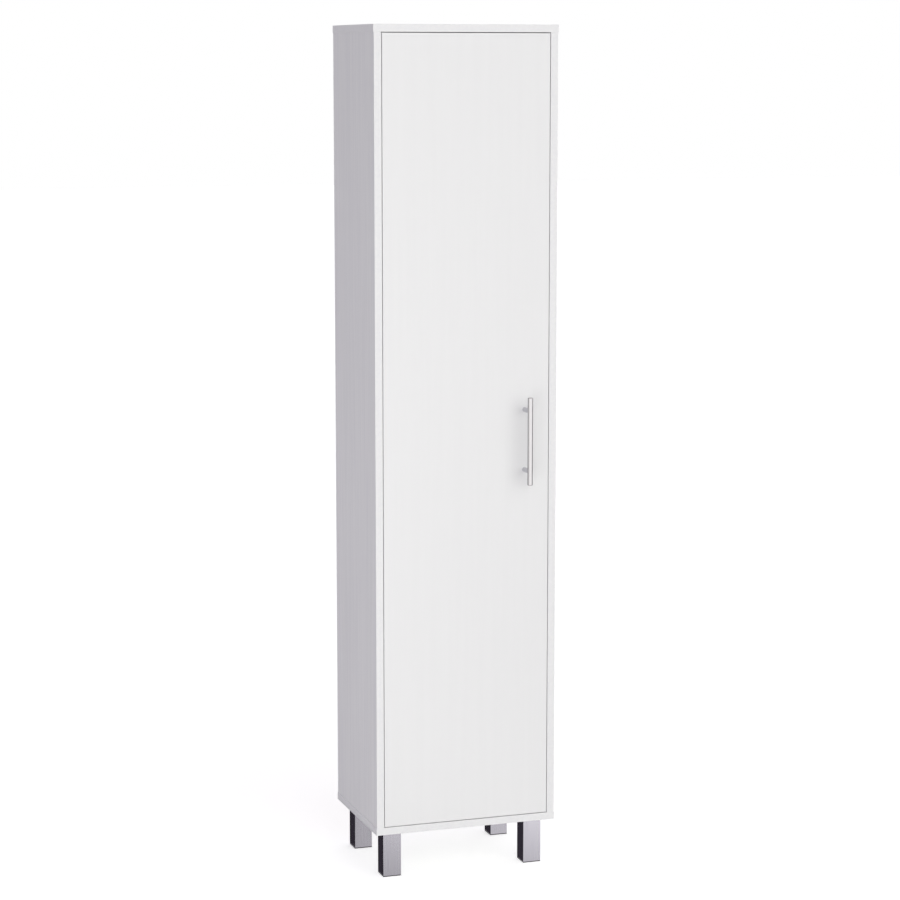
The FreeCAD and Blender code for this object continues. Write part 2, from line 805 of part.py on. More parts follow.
def strip_hook(x, z):
    """A J-hook bent from one steel strip, screwed flat on the rail at x."""
    low = z - hook_height / 2
    wall_side = rail_front
    tip_side = wall_side - hook_reach
    bend_y = (wall_side + tip_side) / 2
    outer_bend = hook_reach / 2
    inner_bend = outer_bend - hook_strip

    def at(y, z):
        return V(x - hook_width / 2, y, z)

    def bend(radius):
        return Part.Arc(at(bend_y + radius, low), at(bend_y, low - radius),
                        at(bend_y - radius, low)).toShape()

    def line(y0, z0, y1, z1):
        return Part.LineSegment(at(y0, z0), at(y1, z1)).toShape()

    back_top = low + hook_height
    tip_top = low + hook_tip
    profile = [
        line(wall_side, back_top, wall_side, low),
        bend(outer_bend),
        line(tip_side, low, tip_side, tip_top),
        line(tip_side, tip_top, tip_side + hook_strip, tip_top),
        line(tip_side + hook_strip, tip_top, tip_side + hook_strip, low),
        bend(inner_bend),
        line(wall_side - hook_strip, low, wall_side - hook_strip, back_top),
        line(wall_side - hook_strip, back_top, wall_side, back_top),
    ]
    wire = Part.Wire(Part.__sortEdges__(profile))
    return Part.Face(wire).extrude(X_AXIS * hook_width)


def hooks():
    screws = []
    for name, x in (("left", -hook_spacing), ("middle", 0.0), ("right", hook_spacing)):
        low = hook_rail_middle - hook_height / 2
        body = strip_hook(x, hook_rail_middle)
        for shift in (-hook_screw_spacing / 2, hook_screw_spacing / 2):
            z = low + hook_height - hook_screw_spacing + shift
            at = V(x, rail_front - hook_strip, z)
            body = body.cut(rod(at, Y_AXIS, hook_screw_radius + fit_clearance, hook_strip))
            screws.append(wood_screw(at, Y_AXIS, hook_screw_radius, hook_screw_length))
            drill("hook_rail", rod(V(x, rail_front, z), Y_AXIS,
                                   hook_screw_radius + fit_clearance,
                                   hook_screw_length - hook_strip + screw_hole_room))
        save(f"hook_{name}", body)
    save("hook_screws", screws)


hooks()


def bumpers():
    """Clear stop pegs in the right side panel, just behind the door's free edge."""
    pegs = []
    y = door_back + bumper_clearance + bumper_radius
    for z in (door_bottom + bumper_end_distance, door_top - bumper_end_distance):
        knob = rod(V(inner, y, z), X_AXIS * -1, bumper_radius, bumper_reach)
        rim = [edge for edge in knob.Edges
               if isinstance(edge.Curve, Part.Circle)
               and edge.BoundBox.XMax < inner - pick_within]
        knob = knob.makeFillet(bumper_rounding, rim)
        stem = rod(V(inner, y, z), X_AXIS, bumper_stem_radius, bumper_stem_length)
        pegs.append(joined([knob, stem]))
        drill("right_side_panel", rod(V(inner, y, z), X_AXIS, bumper_stem_radius + fit_clearance,
                                      bumper_stem_length + screw_hole_room))
    save("door_bumpers", pegs)


bumpers()

# ---------------------------------------------------------------- boards and tape


def horizontal_panel(name, z0, z1):
    """A top or bottom board with tape on its front and both ends, proud of the sides."""
    left, right = -half_width - edging, half_width + edging
    core = box(-half_width, half_width, front + edging, rear, z0, z1)

    def chosen(b):
        runs_back = b.XLength < pick_within and b.ZLength < pick_within
        return runs_back or b.YMax < rear - pick_within

    block = rounded_block(left, right, front, rear, z0, z1, chosen)
    wrap = block.cut(core)
    pieces = [
        box(left, right, front, front + edging, z0, z1),
        box(left, -half_width, front + edging, rear, z0, z1),
        box(half_width, right, front + edging, rear, z0, z1),
    ]
    save(f"{name}_edging", [wrap.common(piece) for piece in pieces])
    save(name, cut_all(core, bores.get(name, [])))


horizontal_panel("top_panel", ceiling, top)
horizontal_panel("bottom_panel", bottom, floor_level)


def edged_front(x0, x1, y0, z0, z1, rounded):
    """A strip of tape on a front edge, with its long corners rounded."""
    return rounded_block(x0, x1, y0, y0 + edging, z0, z1,
                         lambda b: b.YMax < y0 + pick_within and rounded(b))


for side, panel in side_names.items():
    outside, inside = side * half_width, side * inner
    x0, x1 = min(outside, inside), max(outside, inside)
    core = box(x0, x1, front + edging, rear, floor_level, ceiling)
    save(panel, cut_all(core, bores[panel]))
    save(panel.replace("panel", "edging"),
         edged_front(x0, x1, front, floor_level, ceiling,
                     lambda b: b.ZLength > edging))

shelf = box(-inner, inner, shelf_front + edging, rear, shelf_under, shelf_top)
save("fixed_shelf", cut_all(shelf, bores["fixed_shelf"]))
save("shelf_edging", edged_front(-inner, inner, shelf_front, shelf_under, shelf_top,
                                 lambda b: b.XLength > edging))

hook_rail = box(-inner, inner, rail_front, rear, hook_rail_bottom, hook_rail_top)
save("hook_rail", cut_all(hook_rail, bores["hook_rail"]))

wall_rail_middle = (ceiling + wall_rail_bottom) / 2
for x in (-wall_hole_spacing / 2, wall_hole_spacing / 2):
    hole = rod(V(x, rail_front, wall_rail_middle), Y_AXIS, wall_hole_radius, board + back_sheet)
    drill("wall_fixing_rail", hole)
    drill("back_panel_upper", hole)
wall_rail = box(-inner, inner, rail_front, rear, wall_rail_bottom, ceiling)
save("wall_fixing_rail", cut_all(wall_rail, bores["wall_fixing_rail"]))

back_half = half_width - back_inset
lower_back = box(-back_half, back_half, rear, rear + back_sheet, bottom + back_inset,
                 hook_rail_middle - back_joint_gap / 2)
upper_back = box(-back_half, back_half, rear, rear + back_sheet,
                 hook_rail_middle + back_joint_gap / 2, top - back_inset)
save("back_panel_lower", cut_all(lower_back, bores["back_panel_lower"]))
save("back_panel_upper", cut_all(upper_back, bores["back_panel_upper"]))

save("cam_locks", cams)
save("cam_bolts", bolts)
save("dowels", dowels)
save("back_nails", nails)
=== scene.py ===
# %% [markdown]
# # A white broom cupboard in a white studio
#
# The cupboard comes to Blender already built: every board, hinge link and screw is a solid
# of its real size. This lesson gives those solids their finishes, stands them on a studio
# floor, and lights them. It goes in the order of a workshop: load the parts, make a few
# small tools, mix one finish at a time, hand the finishes out, then set up the studio.
#
# Loading comes first, because every later step measures itself against the loaded parts.
# One unit in Blender is a metre, the floor is at zero, and the door faces -Y.

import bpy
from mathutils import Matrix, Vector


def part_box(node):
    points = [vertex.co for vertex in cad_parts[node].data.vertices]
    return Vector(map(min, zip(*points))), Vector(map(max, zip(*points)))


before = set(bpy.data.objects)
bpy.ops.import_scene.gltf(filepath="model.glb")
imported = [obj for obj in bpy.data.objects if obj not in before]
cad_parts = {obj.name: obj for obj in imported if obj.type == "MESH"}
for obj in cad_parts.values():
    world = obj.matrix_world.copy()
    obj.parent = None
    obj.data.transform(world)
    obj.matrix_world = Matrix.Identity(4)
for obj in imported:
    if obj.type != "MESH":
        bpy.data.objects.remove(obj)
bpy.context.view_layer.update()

# %% [markdown]
# ## Three small tools
#
# A finish in Blender is a little network of nodes. Each could be built by hand, with a line
# for every node, setting and link. One function that adds a node together with its settings
# and links keeps a finish down to a few lines, and it serves every kind of node. Some nodes
# keep several sockets under one name, one for each kind of value, and only the one in use
# is enabled, so the function looks among those.
#
# Colours are written as web colours, which a paint chart or a colour picker gives. Blender
# calculates with light, not with screen values, so one function turns them to linear light.
#
# Patterns are measured. A texture's scale says how many times it repeats in a metre, so a
# pattern whose features are so many millimetres apart has a scale of 1000 over that number.

# %% One function for every kind of node
import math
from fnmatch import fnmatch

import bpy
from mathutils import Vector


def add(tree, kind, values=None, **settings):
    """Adds a node with its settings; values feeds its sockets, by name or by number.

    A value is a constant, a socket, or a node, which stands for its first output in use.
    """
    node = tree.nodes.new(kind)
    for name, setting in settings.items():
        setattr(node, name, setting)
    in_use = [socket for socket in node.inputs if socket.enabled]
    for key, value in (values or {}).items():
        socket = in_use[key] if isinstance(key, int) else next(s for s in in_use if s.name == key)
        if isinstance(value, bpy.types.Node):
            value = next(output for output in value.outputs if output.enabled)
        if isinstance(value, bpy.types.NodeSocket):
            tree.links.new(value, socket)
        else:
            socket.default_value = value
    return node


print("one function adds any kind of node")

# %% Colours and pattern sizes
def colour(web):
    """A web colour such as #c0c0c0 as linear red, green, blue and alpha."""
    channels = [int(web[i:i + 2], 16) / 255 for i in (1, 3, 5)]
    linear = [c / 12.92 if c <= 0.04045 else ((c + 0.055) / 1.055) ** 2.4 for c in channels]
    return (*linear, 1.0)


def repeats(x_mm, y_mm, z_mm):
    """The scale of a pattern whose features are this far apart along each direction."""
    return (1000 / x_mm, 1000 / y_mm, 1000 / z_mm)


print("mid grey #808080 in linear light:", round(colour("#808080")[0], 3))

# %% [markdown]
# ## Patterns that several finishes share
#
# Boards, brushed metal and moulded plastic differ in colour and gloss, but each of them is
# some noise, stretched along the direction in which the surface was made. Painted images
# could do the same, but they need unwrapping and they blur when the eye comes close. Noise
# that is calculated from the place in the piece stays sharp, and it moves with the piece.
#
# A tool mark shows in three ways at once: it is a little darker and a little duller than the
# skin beside it, and it isn't quite level with it. One function draws all three from one
# pattern, so that they lie on top of each other as they do on the real thing.

# %% A material, and noise that is stretched
# Noise seldom leaves this range, which is spread to 0 to 1
NOISE_LOW, NOISE_HIGH = 0.35, 0.65
# Each finer layer of noise counts for this share of the one before
FINER_SHARE = 0.55


def material(name, build):
    """A material with the surface that build makes in its node tree."""
    made = bpy.data.materials.new(name)
    made.use_nodes = True
    made.node_tree.nodes.clear()
    add(made.node_tree, "ShaderNodeOutputMaterial", {"Surface": build(made.node_tree)})
    return made


def stretched(tree, spacing_mm, detail=3.0):
    """Noise from 0 to 1, fixed to the piece, with features spacing_mm apart along x, y, z."""
    place = add(tree, "ShaderNodeTexCoord").outputs["Object"]
    scaled = add(tree, "ShaderNodeMapping", {"Vector": place, "Scale": repeats(*spacing_mm)})
    noise = add(tree, "ShaderNodeTexNoise", {"Vector": scaled, "Scale": 1.0, "Detail": detail,
                                             "Roughness": FINER_SHARE})
    return add(tree, "ShaderNodeMapRange", {"Value": noise, "From Min": NOISE_LOW,
                                            "From Max": NOISE_HIGH})


print("noise from", NOISE_LOW, "to", NOISE_HIGH, "is spread to 0 to 1")

# %% A surface that follows its marks
MM = 0.001


def worked(tree, marks, pale, dark, smooth, dull, depth_mm, **more):
    """A shader whose colour, roughness and relief follow the same marks."""
    tint = add(tree, "ShaderNodeMix", {"Factor": marks, "A": colour(pale), "B": colour(dark)},
               data_type="RGBA")
    gloss = add(tree, "ShaderNodeMapRange", {"Value": marks, "To Min": smooth, "To Max": dull})
    skin = add(tree, "ShaderNodeBump", {"Height": marks, "Distance": depth_mm * MM})
    looks = {"Base Color": tint, "Roughness": gloss, "Normal": skin}
    looks.update({name.replace("_", " "): value for name, value in more.items()})
    return add(tree, "ShaderNodeBsdfPrincipled", looks)


print("a relief 1 mm deep is", MM, "of Blender's units")

# %% [markdown]
# ## White melamine on chipboard
#
# The boards are chipboard with a paper foil on both faces. The foil is soaked in melamine
# resin and pressed under a steel plate with a fine grain, so it is white, hard and only
# weakly shiny, with faint ticks along the length of the board. A saw cut, a bored hole or
# a rear edge shows the chips: flat flakes of spruce and beech, laid mostly in the plane of
# the board and glued with a brown resin.
#
# Face and edge could be two materials on chosen faces, but that would need a list of faces.
# The direction that a face looks in tells them apart by itself: a foil lies where the
# surface looks along the board's thickness, and everything else is a cut.

# %% The foil: ticks, gloss and a fine grain
FOIL_WHITE = "#eeeeee"
FOIL_TICK = "#e9e9ea"
DOOR_TICK = "#ededed"
FOIL_ROUGHNESS = 0.435
# A single tick is about 1 mm wide; these are the faint stripes that they add up to from 5 m
TICK_MM, TICK_LENGTH_MM = 9.0, 320.0
# The plate's grain is about 0.3 mm fine; 2 mm is the finest that shows from 5 m
PIT_MM, PIT_DEPTH_MM = 2.0, 0.005


def foil_layer(tree, grain, tick, gloss_swing):
    """The foil's colour, roughness and height in mm; grain is the axis along the board."""
    tick_mm = [TICK_MM] * 3
    tick_mm[grain] = TICK_LENGTH_MM
    ticks = stretched(tree, tick_mm, detail=3.5)
    tint = add(tree, "ShaderNodeMix", {"Factor": ticks, "A": colour(FOIL_WHITE),
                                       "B": colour(tick)}, data_type="RGBA")
    gloss = add(tree, "ShaderNodeMapRange", {"Value": ticks,
                                             "To Min": FOIL_ROUGHNESS - gloss_swing,
                                             "To Max": FOIL_ROUGHNESS + gloss_swing})
    pits = stretched(tree, (PIT_MM, PIT_MM, PIT_MM), detail=2.0)
    height = add(tree, "ShaderNodeMath", {0: pits, 1: PIT_DEPTH_MM}, operation="MULTIPLY")
    return tint, gloss, height


print("foil:", FOIL_WHITE, "with ticks", FOIL_TICK, "and on the door", DOOR_TICK)

# %% The core: chips and glue
FLAKE_PALE = "#d2b688"
FLAKE_DARK = "#9c7a4e"
GLUE_BROWN = "#6d5335"
# Real chips are 1 to 6 mm long and lie flat, so they are thin through the board
CHIP_MM, CHIP_THICKNESS_MM = 4.0, 1.2
CHIP_DEPTH_MM = 0.03
# Glue fills the joints between flakes: from this far out in a flake, and this strongly
GLUE_STARTS, GLUE_FULL, GLUE_COVERS = 0.45, 0.8, 0.7


def chip_layer(tree, thickness):
    """The cut chips' colour and height in mm; thickness is the axis through the board."""
    chip_mm = [CHIP_MM] * 3
    chip_mm[thickness] = CHIP_THICKNESS_MM
    place = add(tree, "ShaderNodeTexCoord").outputs["Object"]
    scaled = add(tree, "ShaderNodeMapping", {"Vector": place, "Scale": repeats(*chip_mm)})
    chips = add(tree, "ShaderNodeTexVoronoi", {"Vector": scaled, "Scale": 1.0})
    shade = add(tree, "ShaderNodeSeparateColor", {"Color": chips.outputs["Color"]})
    flakes = add(tree, "ShaderNodeMix", {"Factor": shade, "A": colour(FLAKE_PALE),
                                         "B": colour(FLAKE_DARK)}, data_type="RGBA")
    joints = add(tree, "ShaderNodeMapRange", {"Value": chips.outputs["Distance"],
                                              "From Min": GLUE_STARTS, "From Max": GLUE_FULL,
                                              "To Max": GLUE_COVERS})
    tint = add(tree, "ShaderNodeMix", {"Factor": joints, "A": flakes,
                                       "B": colour(GLUE_BROWN)}, data_type="RGBA")
    height = add(tree, "ShaderNodeMath", {0: joints, 1: CHIP_DEPTH_MM}, operation="MULTIPLY")
    return tint, height


print("chips:", CHIP_MM, "mm long and", CHIP_THICKNESS_MM, "mm thick")

# %% Which way a surface looks
# A surface that turns less than 45 degrees from an axis looks along it
ALONG = math.cos(math.radians(45))


def looks_along(tree, axis):
    """1 or -1 where the surface looks straight along an axis, 0 where it looks across it."""
    normal = add(tree, "ShaderNodeTexCoord").outputs["Normal"]
    return add(tree, "ShaderNodeSeparateXYZ", {"Vector": normal}).outputs[axis]


print("a face is foil where its normal has more than", round(ALONG, 3), "along the thickness")

# %% Melamine faced chipboard
CUT_ROUGHNESS = 0.9
RESIN_IOR = 1.5


def melamine_board(name, thickness, grain, tick, gloss_swing):
    """A board; thickness and grain are the axes, 0 to 2, of its thickness and its length."""
    def build(tree):
        foil, foil_gloss, foil_height = foil_layer(tree, grain, tick, gloss_swing)
        core, core_height = chip_layer(tree, thickness)
        squarely = add(tree, "ShaderNodeMath", {0: looks_along(tree, thickness)},
                       operation="ABSOLUTE")
        is_foil = add(tree, "ShaderNodeMath", {0: squarely, 1: ALONG},
                      operation="GREATER_THAN")
        tint = add(tree, "ShaderNodeMix", {"Factor": is_foil, "A": core, "B": foil},
                   data_type="RGBA")
        gloss = add(tree, "ShaderNodeMix", {"Factor": is_foil, "A": CUT_ROUGHNESS,
                                            "B": foil_gloss})
        height_mm = add(tree, "ShaderNodeMix", {"Factor": is_foil, "A": core_height,
                                                "B": foil_height})
        skin = add(tree, "ShaderNodeBump", {"Height": height_mm, "Distance": MM})
        return add(tree, "ShaderNodeBsdfPrincipled", {"Base Color": tint, "Roughness": gloss,
                                                      "Normal": skin, "IOR": RESIN_IOR})

    return material(f"melamine_faced_chipboard_{name}", build)


side_board = melamine_board("side", thickness=0, grain=2, tick=FOIL_TICK, gloss_swing=0.035)
front_board = melamine_board("door", thickness=1, grain=2, tick=DOOR_TICK, gloss_swing=0.01)
rail_board = melamine_board("rail", thickness=1, grain=0, tick=FOIL_TICK, gloss_swing=0.035)
level_board = melamine_board("level", thickness=2, grain=0, tick=FOIL_TICK, gloss_swing=0.035)
print("boards:", side_board.name, front_board.name, rail_board.name, level_board.name)

# %% [markdown]
# ## Edge tape
#
# The cut edges that show are covered with a millimetre of ABS plastic. It is extruded as a
# long ribbon, glued on hot, and scraped to a small radius. It is made to match the foil in
# white and in gloss, but has no ticks, only the slightest waviness where the scraper
# chattered.
#
# The board's finish could be stretched to cover the tape, with one more mask. But each tape
# is a node of its own, so it simply gets a finish of its own.

# %% Extruded ABS edge tape
def edge_tape(tree):
    waves = stretched(tree, (6.0, 6.0, 6.0), detail=2.0)
    return worked(tree, waves, pale="#eeeeee", dark="#ebebec", smooth=0.44, dull=0.48,
                  depth_mm=0.003, IOR=1.52)


extruded_tape = material("abs_edge_tape_extruded", edge_tape)
print("tape:", extruded_tape.name)

# %% [markdown]
# ## Hardboard back
#
# The back is two sheets of hardboard: wood fibre pressed so hard that it needs little glue.
# The inside is lacquered white to match the boards, and the outside is left bare, brown and
# softly mottled, with single fibres lying every way. As on the boards, the direction that a
# face looks in says which side it is: the lacquer looks to the front.

# %% Pressed hardboard, lacquered on one side
LACQUER = "#ebeaea"
FIBRE_PALE = "#97754f"
FIBRE_DARK = "#80603f"
MOTTLE_MM = 40.0
# Real fibres are thinner than a hair and 2 mm long; these are as coarse as it takes to show
FIBRE_MM, FIBRE_LENGTH_MM, FIBRE_DEPTH_MM = 0.8, 5.0, 0.025
# The sheet is built up of layers of fibre about this thick
LAYER_MM = 1.0
FIBRE_CONTRAST = 0.5
BARE_ROUGHNESS, LACQUER_ROUGHNESS = 0.78, 0.45


def hardboard(tree):
    mottle = stretched(tree, (MOTTLE_MM, MOTTLE_MM, MOTTLE_MM), detail=6.0)
    upright_fibres = stretched(tree, (FIBRE_MM, LAYER_MM, FIBRE_LENGTH_MM))
    level_fibres = stretched(tree, (FIBRE_LENGTH_MM, LAYER_MM, FIBRE_MM))
    felt = add(tree, "ShaderNodeMath", {0: upright_fibres, 1: level_fibres},
               operation="MULTIPLY")
    ground = add(tree, "ShaderNodeMix", {"Factor": mottle, "A": colour(FIBRE_PALE),
                                         "B": colour(FIBRE_DARK)}, data_type="RGBA")
    lying_on_top = add(tree, "ShaderNodeMath", {0: felt, 1: FIBRE_CONTRAST},
                       operation="MULTIPLY")
    bare = add(tree, "ShaderNodeMix", {"Factor": lying_on_top, "A": ground,
                                       "B": colour(FIBRE_PALE)}, data_type="RGBA")
    lacquered = add(tree, "ShaderNodeMath", {0: looks_along(tree, 1), 1: -ALONG},
                    operation="LESS_THAN")
    tint = add(tree, "ShaderNodeMix", {"Factor": lacquered, "A": bare, "B": colour(LACQUER)},
               data_type="RGBA")
    gloss = add(tree, "ShaderNodeMix", {"Factor": lacquered, "A": BARE_ROUGHNESS,
                                        "B": LACQUER_ROUGHNESS})
    skin = add(tree, "ShaderNodeBump", {"Height": felt, "Distance": FIBRE_DEPTH_MM * MM})
    return add(tree, "ShaderNodeBsdfPrincipled", {"Base Color": tint, "Roughness": gloss,
                                                  "Normal": skin, "IOR": RESIN_IOR})


pressed_back = material("hardboard_pressed", hardboard)
print("back:", pressed_back.name)

# %% [markdown]
# ## Metals
#
# What sets the metals of this cupboard apart is less their colour than how their surface was
# made: brushed along, turned, drawn through a die, plated over a tumbled part, or cast. A
# metal keeps Blender's own index of refraction; its colour and its roughness do the work.
# Each is the same small network with its own streaks, so one function makes them from a
# short description. Real tool marks are a few hundredths of a millimetre apart. From five
# metres they would melt away, so they are drawn as coarse as it takes for them to show.

# %% Metals, by how their surface was made
def worked_metal(name, pale, dark, streak_mm, smooth, dull, depth_mm, **more):
    """A bare or plated metal; streak_mm is the spacing of its tool marks along x, y, z."""
    def build(tree):
        streaks = stretched(tree, streak_mm, detail=4.0)
        return worked(tree, streaks, pale, dark, smooth, dull, depth_mm, Metallic=1.0, **more)
    return material(name, build)


# Stainless steel, brushed along the bar with a fine belt. Its long soft highlight is the
# painted highlight of the bright card further on, and its reflection is tinted dark at a
# grazing look, a painted shade along the outline of the round bar.
STEEL_RIM_PAINTED_SHADE = colour("#8f8f98")
brushed_bar = worked_metal("stainless_steel_brushed", pale="#b5b3b3", dark="#aeacad",
                           streak_mm=(0.6, 0.6, 18.0), smooth=0.10, dull=0.16,
                           depth_mm=0.003, Specular_Tint=STEEL_RIM_PAINTED_SHADE)
# The same steel, turned in a lathe: rings round the post, and a paler, softer shine
turned_post = worked_metal("stainless_steel_turned", pale="#cccbd0", dark="#c3c2c8",
                           streak_mm=(9.0, 0.5, 9.0), smooth=0.18, dull=0.26, depth_mm=0.003)
# Aluminium tube, drawn through a die and anodised satin: grey, even, faintly lined upwards
drawn_leg = worked_metal("aluminium_drawn_satin_anodised", pale="#c3c0c7", dark="#bab7bf",
                         streak_mm=(1.2, 1.2, 60.0), smooth=0.18, dull=0.24, depth_mm=0.003)
# Steel hinge parts, stamped, tumbled and nickel plated: warm, bright and a little uneven
plated_hinge = worked_metal("steel_stamped_nickel_plated", pale="#cbc5ba", dark="#c3bdb2",
                            streak_mm=(7.0, 7.0, 7.0), smooth=0.20, dull=0.25, depth_mm=0.001)
# Screws, nails and bolts, cold headed and zinc plated: bluish, duller in the recesses
plated_screw = worked_metal("steel_headed_zinc_plated", pale="#c9ccd0", dark="#bbbec3",
                            streak_mm=(2.5, 2.5, 2.5), smooth=0.28, dull=0.36, depth_mm=0.002)
# Cam locks, zinc cast in a steel mould: grey and matt, with a sandy skin
cast_cam = worked_metal("zinc_die_cast", pale="#a4a5a8", dark="#8c8d91",
                        streak_mm=(0.9, 0.9, 0.9), smooth=0.42, dull=0.6, depth_mm=0.01)
print("metals:", brushed_bar.name, turned_post.name, drawn_leg.name, plated_hinge.name)

# %% [markdown]
# ## Plastics, paint and wood
#
# The feet are moulded in black polyethylene, in a mould with an eroded texture, so they are
# nearly matt; the texture's real grit of 0.1 mm is drawn coarser, so that it shows. The hooks
# are steel with white powder baked on, which leaves an orange peel skin. The pegs that stop
# the door are clear polyurethane, and the dowels are turned from beech, whose pale rays run
# along the grain.
#
# Small as they are, each could do with one flat colour, but then they would look like cut
# paper from close by. One noise under one surface is enough, so the shared functions make
# each of them in two steps.

# %% Feet, hooks, stop pegs and dowels
def moulded_black(tree):
    grain = stretched(tree, (0.7, 0.7, 0.7), detail=2.0)
    return worked(tree, grain, pale="#19191c", dark="#202024", smooth=0.48, dull=0.58,
                  depth_mm=0.01, IOR=1.51)


def powder_white(tree):
    peel = stretched(tree, (1.6, 1.6, 1.6), detail=1.0)
    return worked(tree, peel, pale="#f0f0ef", dark="#ececec", smooth=0.30, dull=0.34,
                  depth_mm=0.015, IOR=RESIN_IOR)


def clear_drop(tree):
    haze = stretched(tree, (2.0, 2.0, 2.0), detail=1.0)
    return worked(tree, haze, pale="#f2f4f4", dark="#ebefef", smooth=0.08, dull=0.12,
                  depth_mm=0.0, IOR=RESIN_IOR, Transmission_Weight=0.85)


def turned_beech(tree):
    rays = stretched(tree, (0.8, 0.8, 6.0), detail=4.0)
    return worked(tree, rays, pale="#d3ab7c", dark="#b98b5c", smooth=0.5, dull=0.65,
                  depth_mm=0.015, IOR=RESIN_IOR)


moulded_foot = material("polyethylene_moulded_black", moulded_black)
powder_hook = material("steel_powder_coated_white", powder_white)
clear_bumper = material("polyurethane_clear", clear_drop)
beech_dowel = material("beech_turned", turned_beech)
print("others:", moulded_foot.name, powder_hook.name, clear_bumper.name, beech_dowel.name)

# %% [markdown]
# ## Handing out the finishes
#
# The nodes could be dressed one by one. But every node of the cupboard is named for what it
# is, so a short list of patterns of names does it, and can be read at a glance. The first
# pattern that fits a node wins, and the script stops if a node is left without one.

# %% Each node gets its finish
FINISHES = [
    ("*_edging", extruded_tape),
    ("*_side_panel", side_board),
    ("door_panel", front_board),
    ("*_rail", rail_board),
    ("top_panel", level_board),
    ("bottom_panel", level_board),
    ("fixed_shelf", level_board),
    ("back_panel_*", pressed_back),
    ("*_screws", plated_screw),
    ("leg_plates", plated_screw),
    ("cam_bolts", plated_screw),
    ("back_nails", plated_screw),
    ("cam_locks", cast_cam),
    ("handle_bar", brushed_bar),
    ("handle_post_*", turned_post),
    ("leg_*", drawn_leg),
    ("foot_*", moulded_foot),
    ("hinge_*", plated_hinge),
    ("hook_*", powder_hook),
    ("dowels", beech_dowel),
    ("door_bumpers", clear_bumper),
]


def finish_for(node_name):
    return next(finish for pattern, finish in FINISHES if fnmatch(node_name, pattern))


for node_name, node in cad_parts.items():
    node.data.materials.clear()
    node.data.materials.append(finish_for(node_name))
print("finished nodes:", len(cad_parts))

# %% [markdown]
# ## The studio floor
#
# A product photographer stands furniture on a pale sweep of paper that runs up behind it.
# The camera sees it burnt out to white, with at most a breath of shadow under the legs. The
# same comes from a wide flat floor whose white is lifted only for the camera and for
# reflections: the light that it throws back on the cupboard stays that of pale paper, and
# the shadow stays too. Seen from below it is clear, so that the underside can be looked at.

# %% A wide flat floor
FLOOR_HALF = 30.0

floor_corners = [(-FLOOR_HALF, -FLOOR_HALF, 0), (FLOOR_HALF, -FLOOR_HALF, 0),
                 (FLOOR_HALF, FLOOR_HALF, 0), (-FLOOR_HALF, FLOOR_HALF, 0)]
floor_mesh = bpy.data.meshes.new("studio_floor")
floor_mesh.from_pydata(floor_corners, [], [(0, 1, 2, 3)])
floor = bpy.data.objects.new("studio_floor", floor_mesh)
bpy.context.scene.collection.objects.link(floor)
print("floor:", 2 * FLOOR_HALF, "m square")

# %% Paper that is white to the camera
WHITE = (1.0, 1.0, 1.0, 1.0)
PAPER, PAPER_CLOUD = "#e1e2df", "#dddedb"
# Single fibres are too fine to show from here; held to the light, a sheet is cloudy instead
CLOUD_MM = 30.0
LIFT_FOR_CAMERA = 0.67


def seen_directly(tree):
    """1 for rays from the camera, by mirror reflection or through glass, and 0 for the rest."""
    path = add(tree, "ShaderNodeLightPath").outputs
    mirrored = add(tree, "ShaderNodeMath", {0: path["Is Camera Ray"],
                                            1: path["Is Glossy Ray"]}, operation="MAXIMUM")
    return add(tree, "ShaderNodeMath", {0: mirrored, 1: path["Is Transmission Ray"]},
               operation="MAXIMUM")


def paper_sweep(tree):
    clouds = stretched(tree, (CLOUD_MM, CLOUD_MM, CLOUD_MM), detail=2.0)
    paper = add(tree, "ShaderNodeMix", {"Factor": clouds, "A": colour(PAPER),
                                        "B": colour(PAPER_CLOUD)}, data_type="RGBA")
    sheet = add(tree, "ShaderNodeBsdfDiffuse", {"Color": paper})
    lift = add(tree, "ShaderNodeEmission", {"Color": WHITE, "Strength": LIFT_FOR_CAMERA})
    lifted = add(tree, "ShaderNodeAddShader", {0: sheet, 1: lift})
    shown = add(tree, "ShaderNodeMixShader", {0: seen_directly(tree), 1: sheet, 2: lifted})
    below = add(tree, "ShaderNodeNewGeometry").outputs["Backfacing"]
    clear = add(tree, "ShaderNodeBsdfTransparent")
    return add(tree, "ShaderNodeMixShader", {0: below, 1: shown, 2: clear})


floor.data.materials.append(material("paper_sweep", paper_sweep))
print("paper:", PAPER, "lifted for the camera by", LIFT_FOR_CAMERA)

# %% [markdown]
# ## Light
#
# White furniture needs quiet light. Light from all round, as in a white room, keeps the
# sides readable. One large soft source from the front, a little to the right, makes the
# door the brightest face and lays the handle's soft shadow to its left. A weak one from
# behind gives the rear faces a direction, and a low one on the left lifts the foot of the
# side. The levels add up so that a white board facing the front shows the white that its
# finish was given, and no more.
#
# Polished metal would show the lamps themselves as hard spots. The front lamp and the low
# one are hidden from reflections, and a glowing card of the next step paints a highlight in
# their place.

# %% The room
ROOM_TINT, ROOM_LEVEL = "#f4ecff", 0.361

world = bpy.data.worlds.new("white_room")
bpy.context.scene.world = world
world.use_nodes = True
sky = world.node_tree
sky.nodes.clear()
room = add(sky, "ShaderNodeBackground", {"Color": colour(ROOM_TINT), "Strength": ROOM_LEVEL})
white = add(sky, "ShaderNodeBackground", {"Color": WHITE, "Strength": 1.0})
both = add(sky, "ShaderNodeMixShader", {0: seen_directly(sky), 1: room, 2: white})
add(sky, "ShaderNodeOutputWorld", {"Surface": both})
print("room:", ROOM_LEVEL)

# %% Three soft lamps
FOOT_OF_CUPBOARD = Vector((0, 0, 0))
SIDE_OF_CUPBOARD = Vector((0, 0, 0.6))


